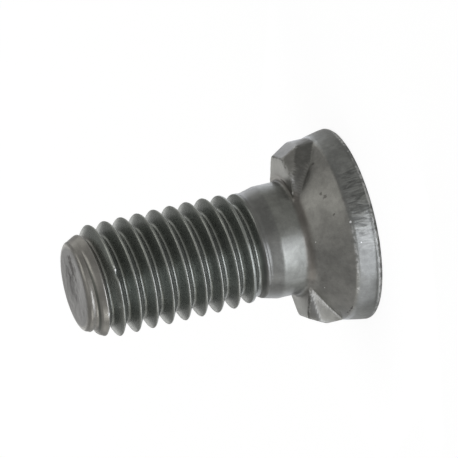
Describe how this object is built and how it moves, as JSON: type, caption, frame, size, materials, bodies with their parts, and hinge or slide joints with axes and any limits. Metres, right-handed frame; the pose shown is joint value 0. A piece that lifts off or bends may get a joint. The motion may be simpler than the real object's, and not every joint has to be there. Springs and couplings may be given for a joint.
{
  "type": "plow bolt",
  "caption": "Plow bolt with a round countersunk head, a pair of opposite locking lugs under it, a short smooth neck and a coarse right-hand thread.",
  "frame": {"origin": "centre of the flat face of the head, on which the bolt stands", "axes": "+Z along the bolt's axis towards the thread's end, +X through one lug, +Y by the right-hand rule"},
  "size_m": [0.0218, 0.0218, 0.032],
  "materials": {
    "dark_steel": "dark phosphate and oil over forged and rolled steel, semi-gloss"
  },
  "bodies": {
    "root": {"plow_bolt": "dark_steel"}
  },
  "joints": []
}
